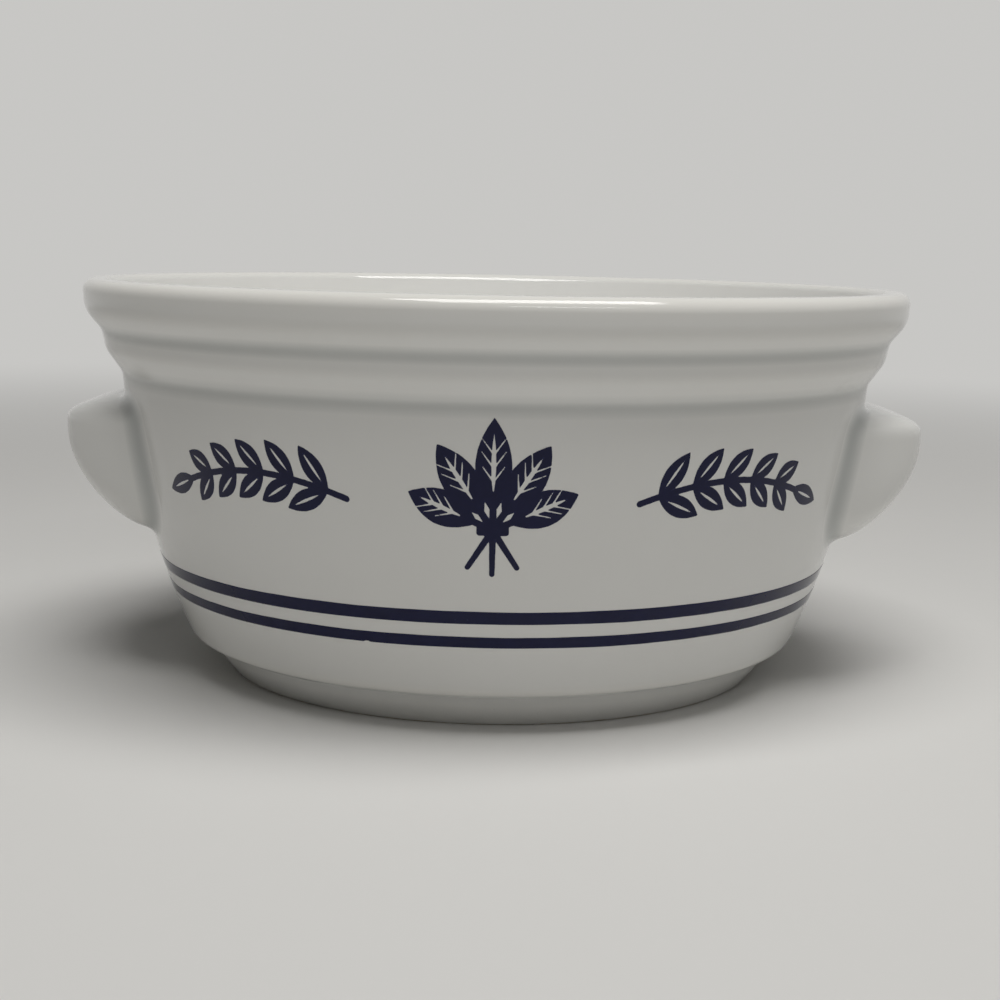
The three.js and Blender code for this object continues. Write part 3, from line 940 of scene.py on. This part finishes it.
def pale_floor():
    """A plain matt floor that fades into the even background away from the bowl."""
    material, tree, shader = node_tree("pale_floor")
    place = object_place(tree)
    colour = mix_colour(tree, noise(tree, place, *FLOOR_MOTTLE), *FLOOR_COLOURS)
    tree.links.new(colour, shader.inputs["Base Color"])
    rough = spread(tree, noise(tree, place, *FLOOR_GRAIN), 0.0, 1.0, *FLOOR_ROUGHNESS)
    tree.links.new(rough, shader.inputs["Roughness"])
    away = add_node(tree, "ShaderNodeVectorMath", operation="LENGTH")
    tree.links.new(place, away.inputs[0])
    far = spread(tree, away.outputs["Value"], *FLOOR_FADE, 0.0, 1.0, True)
    even = add_node(tree, "ShaderNodeEmission")
    even.inputs["Color"].default_value = (*BACKGROUND, 1.0)
    fade = add_node(tree, "ShaderNodeMixShader")
    tree.links.new(calculate(tree, "MULTIPLY", far, seen_directly(tree)), fade.inputs["Fac"])
    tree.links.new(shader.outputs["BSDF"], fade.inputs[1])
    tree.links.new(even.outputs["Emission"], fade.inputs[2])
    tree.links.new(fade.outputs["Shader"], tree.nodes["Material Output"].inputs["Surface"])
    return material


# The bowl

glaze = white_glaze()
pigment = navy_pigment()

outline = outside_points() + inside_points()
body_points, body_faces, body_values = turned_mesh(outline, edge_values(outline))
make_piece("glazed_bowl", body_points, body_faces, body_values, glaze, "white_glaze", ["bowl_body"])

lug_points, lug_faces, lug_values = lug_mesh()
make_piece(
    "right_lug", lug_points, lug_faces, lug_values, glaze, "white_glaze",
    ["right_lug_handle", "right_bond_slip"],
)
make_piece(
    "left_lug", half_turned(lug_points), lug_faces, lug_values, glaze, "white_glaze",
    ["left_lug_handle", "left_bond_slip"],
)

upper_mesh = stripe_mesh(*UPPER_STRIPE, UPPER_STRIPE_SEED, None)
make_piece("painted_upper_stripe", *upper_mesh, pigment, "navy_pigment", ["upper_stripe"])
lower_mesh = stripe_mesh(*LOWER_STRIPE, LOWER_STRIPE_SEED, NICK_ANGLE)
make_piece("painted_lower_stripe", *lower_mesh, pigment, "navy_pigment", ["lower_stripe"])

bunch_mesh = print_mesh(bunch_field, BUNCH_HALF_SIZE, 0.0, BUNCH_SEED)
make_piece("printed_leaf_bunch", *bunch_mesh, pigment, "navy_pigment", ["front_leaf_bunch"])
for side, side_name in ((-1, "left"), (1, "right")):
    sprig_mesh = print_mesh(
        lambda grid: sprig_field(grid, side), SPRIG_HALF_SIZE, side * SPRIG_TURN, side + SPRIG_SEED
    )
    make_piece(
        f"printed_{side_name}_sprig", *sprig_mesh, pigment, "navy_pigment", [f"{side_name}_leaf_sprig"]
    )


# Floor

FLOOR_DISC_RADIUS = 2.5
FLOOR_DISC_SIDES = 96


def round_floor():
    """A disc under the bowl."""
    angles = np.linspace(0, 2 * math.pi, FLOOR_DISC_SIDES, endpoint=False)
    points = [(FLOOR_DISC_RADIUS * math.cos(a), FLOOR_DISC_RADIUS * math.sin(a), 0.0) for a in angles]
    mesh = bpy.data.meshes.new("floor")
    mesh.from_pydata(points, [], [tuple(range(FLOOR_DISC_SIDES))])
    mesh.materials.append(pale_floor())
    floor = bpy.data.objects.new("floor", mesh)
    bpy.context.scene.collection.objects.link(floor)


round_floor()


# Light and camera

BOWL_MIDDLE = (0.0, 0.0, 0.035)
BOWL_FOOT = (0.0, 0.0, 0.0)
ROOM_STRENGTH = 0.06


def area_light(name, place, target, size, power, colour):
    """A rectangular lamp that faces a target."""
    data = bpy.data.lights.new(name, "AREA")
    data.shape = "RECTANGLE"
    data.size = size[0]
    data.size_y = size[1]
    data.energy = power
    data.color = colour
    light = bpy.data.objects.new(name, data)
    light.location = place
    light.rotation_euler = (Vector(target) - Vector(place)).to_track_quat("-Z", "Y").to_euler()
    bpy.context.scene.collection.objects.link(light)


area_light(
    "overhead",
    place=(0.1, -0.23, 1.0),
    target=BOWL_FOOT,
    size=(0.8, 0.45),
    power=8.2,
    colour=(1.0, 0.99, 0.97),
)
area_light(
    "front_strip",
    place=(0.3, -0.85, 0.66),
    target=BOWL_MIDDLE,
    size=(0.55, 0.014),
    power=0.6,
    colour=(1.0, 1.0, 1.0),
)


def studio_world():
    """Dim room light, and the even background where the camera or a reflection looks past the floor."""
    world = bpy.data.worlds.new("studio")
    bpy.context.scene.world = world
    world.use_nodes = True
    tree = world.node_tree
    background = tree.nodes["Background"]
    background.inputs["Color"].default_value = (*BACKGROUND, 1.0)
    strength = spread(tree, seen_directly(tree), 0.0, 1.0, ROOM_STRENGTH, 1.0)
    tree.links.new(strength, background.inputs["Strength"])


studio_world()

CAMERA_DISTANCE = 0.326
CAMERA_HEIGHT = 0.0797
CAMERA_PITCH = math.radians(8.64)
CAMERA_ROLL = math.radians(1.09)
CAMERA_YAW = math.radians(-0.23)
FOCAL_PIXELS = 1720.0
FRAME_PIXELS = 1000.0
SENSOR_WIDTH = 36.0
NEAREST_SEEN = 0.01

camera_data = bpy.data.cameras.new("camera")
camera_data.sensor_width = SENSOR_WIDTH
camera_data.lens = SENSOR_WIDTH * FOCAL_PIXELS / FRAME_PIXELS
camera_data.clip_start = NEAREST_SEEN
camera = bpy.data.objects.new("camera", camera_data)
turn = Matrix.Rotation(CAMERA_YAW, 4, "Z")
turn = turn @ Matrix.Rotation(math.pi / 2 - CAMERA_PITCH, 4, "X")
turn = turn @ Matrix.Rotation(CAMERA_ROLL, 4, "Z")
camera.matrix_world = Matrix.Translation((0.0, -CAMERA_DISTANCE, CAMERA_HEIGHT)) @ turn
bpy.context.scene.collection.objects.link(camera)
bpy.context.scene.camera = camera

bpy.context.scene.view_settings.view_transform = "Standard"
